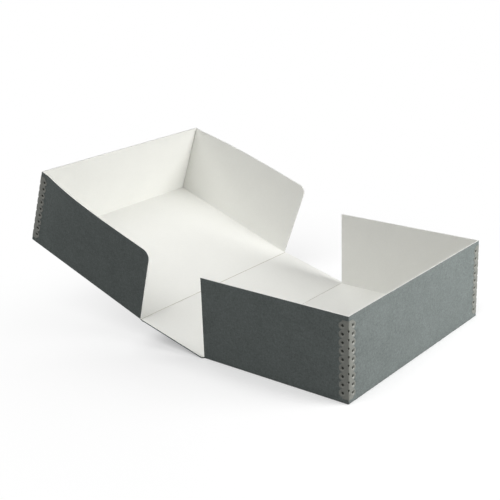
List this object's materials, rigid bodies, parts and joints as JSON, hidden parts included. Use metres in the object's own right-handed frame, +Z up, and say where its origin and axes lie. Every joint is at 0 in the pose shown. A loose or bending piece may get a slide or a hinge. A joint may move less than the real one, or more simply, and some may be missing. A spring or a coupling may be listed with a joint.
{
  "type": "clamshell book box",
  "caption": "Drop-spine box of faced board standing open: a base tray, a spine panel and a lid tray folded on two creases, with metal corner stays.",
  "frame": {"origin": "middle of the base tray's underside, on the table", "axes": "+X from the spine side towards the base tray's fore edge, +Y along the spine towards the far wall, +Z up"},
  "size_m": [0.4979, 0.32, 0.1915],
  "materials": {
    "white_board": "matte uncoated board, warm white, at the inside and the cut edges",
    "grey_facing": "matte grey facing paper with a fine fibre mottle",
    "stay_metal": "thin steel strip with a satin warm grey coating"
  },
  "bodies": {
    "base": {"base_floor_board": "white_board", "base_near_board": "white_board", "base_far_board": "white_board", "base_fore_board": "white_board", "base_floor_facing": "grey_facing", "base_near_facing": "grey_facing", "base_far_facing": "grey_facing", "base_fore_facing": "grey_facing", "base_near_stay": "stay_metal", "base_far_stay": "stay_metal"},
    "spine": {"spine_board": "white_board", "spine_facing": "grey_facing", "base_crease": "grey_facing", "lid_crease": "grey_facing"},
    "lid": {"lid_top_board": "white_board", "lid_near_board": "white_board", "lid_far_board": "white_board", "lid_fore_board": "white_board", "lid_top_facing": "grey_facing", "lid_near_facing": "grey_facing", "lid_far_facing": "grey_facing", "lid_fore_facing": "grey_facing", "lid_near_stay": "stay_metal", "lid_far_stay": "stay_metal"}
  },
  "joints": [
    {"name": "base_hinge", "type": "hinge", "parent": "base", "child": "spine", "pos_m": [-0.1026, 0, 0.00075], "axis": [0, 1, 0], "range_deg": [-14.5, 75.5]},
    {"name": "lid_hinge", "type": "hinge", "parent": "spine", "child": "lid", "pos_m": [-0.20125, 0, 0.02626], "axis": [0, 1, 0], "range_deg": [-5, 85]}
  ]
}
